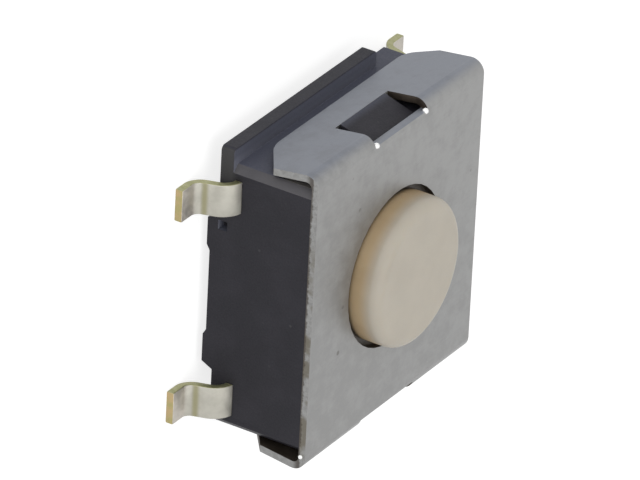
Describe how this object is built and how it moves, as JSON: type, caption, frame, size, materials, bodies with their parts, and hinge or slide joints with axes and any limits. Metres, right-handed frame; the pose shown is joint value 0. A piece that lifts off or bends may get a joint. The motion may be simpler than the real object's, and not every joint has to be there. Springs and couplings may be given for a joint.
{
  "type": "tactile push button switch",
  "caption": "Low-profile surface-mount tactile switch: folded steel cover with snap windows over a moulded base, round button, spring dome, gull-wing leads.",
  "frame": {"origin": "centre of the switch on the seating plane under its solder feet", "axes": "+Z the way the button faces, X across the two lead sides, Y across the cover's two folded flanges"},
  "size_m": [0.008, 0.0066, 0.0032],
  "materials": {
    "base_plastic": "matt moulded black",
    "cover_steel": "satin tinned steel sheet",
    "button_plastic": "smooth moulded beige",
    "dome_steel": "bright spring steel",
    "plated_brass": "silver plated, bare brass on the sheared edges"
  },
  "bodies": {
    "housing": {"base": "base_plastic", "cover": "cover_steel", "contact_dome": "dome_steel", "center_contact": "plated_brass", "rim_contact": "plated_brass"},
    "button": {"button": "button_plastic"}
  },
  "joints": [
    {"name": "button_press", "type": "slide", "parent": "housing", "child": "button", "axis": [0, 0, -1], "range_m": [0, 0.00025], "stiffness_N_per_m": 5000, "springref_m": -0.00005, "deforming": ["contact_dome"]}
  ]
}
